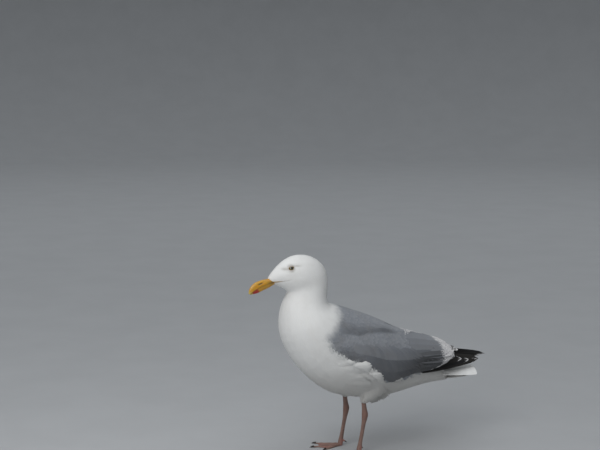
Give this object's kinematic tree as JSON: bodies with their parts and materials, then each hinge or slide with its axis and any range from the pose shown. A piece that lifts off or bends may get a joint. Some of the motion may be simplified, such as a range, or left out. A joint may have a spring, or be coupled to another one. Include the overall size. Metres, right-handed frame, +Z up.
{
  "type": "herring gull",
  "caption": "Adult herring gull standing still, life size: white body, grey folded wings, black wing tips, hooked yellow bill and webbed pink feet.",
  "frame": {"origin": "on the floor, under the middle of the bird's box", "axes": "-Y the way the bird faces, +X its left side, +Z up"},
  "size_m": [0.1532, 0.5014, 0.3787],
  "materials": {
    "white_plumage": "matte",
    "grey_plumage": "matte",
    "black_plumage": "matte",
    "bill_horn": "satin",
    "eye": "gloss",
    "leg_skin": "matte",
    "claw_horn": "satin"
  },
  "bodies": {
    "root": {"head": "white_plumage", "neck": "white_plumage", "trunk": "white_plumage", "tail": "white_plumage", "thigh_left": "white_plumage", "thigh_right": "white_plumage", "wing_left": "grey_plumage", "wing_right": "grey_plumage", "primaries_left": "black_plumage", "primaries_right": "black_plumage", "bill_upper": "bill_horn", "bill_lower": "bill_horn", "eye_left": "eye", "eye_right": "eye", "leg_left": "leg_skin", "leg_right": "leg_skin", "foot_left": "leg_skin", "foot_right": "leg_skin", "claw_inner_left": "claw_horn", "claw_middle_left": "claw_horn", "claw_outer_left": "claw_horn", "claw_hind_left": "claw_horn", "claw_inner_right": "claw_horn", "claw_middle_right": "claw_horn", "claw_outer_right": "claw_horn", "claw_hind_right": "claw_horn"}
  },
  "joints": []
}
